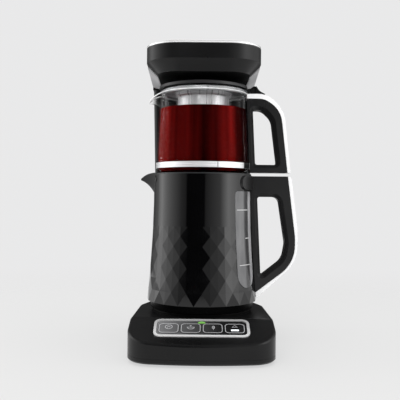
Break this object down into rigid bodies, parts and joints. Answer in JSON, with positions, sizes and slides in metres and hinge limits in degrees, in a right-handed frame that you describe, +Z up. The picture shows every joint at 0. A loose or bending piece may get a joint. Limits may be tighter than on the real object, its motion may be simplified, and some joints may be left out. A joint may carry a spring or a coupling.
{
  "type": "automatic tea maker",
  "caption": "Upright tea maker: control base, faceted kettle on a power base and glass teapot with basket under a fixed brewing head, with loop handles.",
  "frame": {"origin": "middle of the footprint, on the surface that the feet stand on", "axes": "+Z up, +X towards the handles, -Y towards the control panel"},
  "size_m": [0.2096, 0.25, 0.3795],
  "materials": {
    "black_matte": "satin",
    "black_gloss": "gloss",
    "grey_satin": "satin",
    "dark_grey": "satin",
    "bright_chrome": "polished",
    "steel": "brushed",
    "clear_glass": "polished",
    "smoked_window": "gloss",
    "black_rubber": "matte",
    "green_lens": "gloss",
    "board": "satin",
    "switch_black": "satin"
  },
  "bodies": {
    "stand": {"base_tray": "black_matte", "base_cover": "black_matte", "base_feet": "black_rubber", "base_screws": "steel", "power_board": "board", "cord_inlet": "black_matte", "panel_bezel": "bright_chrome", "panel_fascia": "black_gloss", "status_lens": "green_lens", "tact_switches": "switch_black", "control_board": "board", "power_connector": "black_matte", "column_front_panel": "black_matte", "column_rear_cover": "black_matte", "head_shell": "black_matte", "head_trim_ring": "bright_chrome", "head_top_cover": "black_gloss", "neck_trim_left": "grey_satin", "neck_trim_right": "grey_satin", "brew_outlet": "black_matte", "water_pump": "black_matte", "riser_tube": "black_rubber", "feed_hose": "black_rubber"},
    "kettle": {"kettle_shell": "black_gloss", "level_window": "smoked_window", "kettle_foot_ring": "black_matte", "heater_plate": "steel", "kettle_socket": "black_matte", "heater_element": "steel", "kettle_collar": "dark_grey", "kettle_handle": "black_matte", "kettle_handle_strap": "bright_chrome"},
    "pot": {"pot_glass": "clear_glass", "pot_clamp_band": "steel", "pot_mouth_ring": "black_matte", "tea_basket": "steel", "pot_handle": "black_matte", "pot_handle_strap": "bright_chrome", "lid_hinge_bracket": "steel", "lid_hinge_pin": "steel"},
    "lid": {"pot_lid": "dark_grey", "lid_gasket": "black_rubber", "lid_lever": "black_matte"},
    "key_1": {"program_key_1": "black_gloss"},
    "key_2": {"program_key_2": "black_gloss"},
    "key_3": {"program_key_3": "black_gloss"},
    "key_4": {"program_key_4": "black_gloss"}
  },
  "joints": [
    {"name": "kettle_swivel", "type": "hinge", "parent": "stand", "child": "kettle", "pos_m": [-0.01775, 0, 0.05], "axis": [0, 0, 1], "range_deg": [-60, 38]},
    {"name": "pot_draw", "type": "slide", "parent": "kettle", "child": "pot", "axis": [0, -0.9986, 0.0523], "range_m": [0, 0.15]},
    {"name": "lid_hinge", "type": "hinge", "parent": "pot", "child": "lid", "pos_m": [0.04625, 0, 0.3308], "axis": [0, 1, 0], "range_deg": [0, 3.5]},
    {"name": "key_1_press", "type": "slide", "parent": "stand", "child": "key_1", "axis": [0, 0.342, -0.9397], "range_m": [0, 0.001], "stiffness_N_per_m": 400, "springref_m": -0.0005},
    {"name": "key_2_press", "type": "slide", "parent": "stand", "child": "key_2", "axis": [0, 0.342, -0.9397], "range_m": [0, 0.001], "stiffness_N_per_m": 400, "springref_m": -0.0005},
    {"name": "key_3_press", "type": "slide", "parent": "stand", "child": "key_3", "axis": [0, 0.342, -0.9397], "range_m": [0, 0.001], "stiffness_N_per_m": 400, "springref_m": -0.0005},
    {"name": "key_4_press", "type": "slide", "parent": "stand", "child": "key_4", "axis": [0, 0.342, -0.9397], "range_m": [0, 0.001], "stiffness_N_per_m": 400, "springref_m": -0.0005}
  ]
}
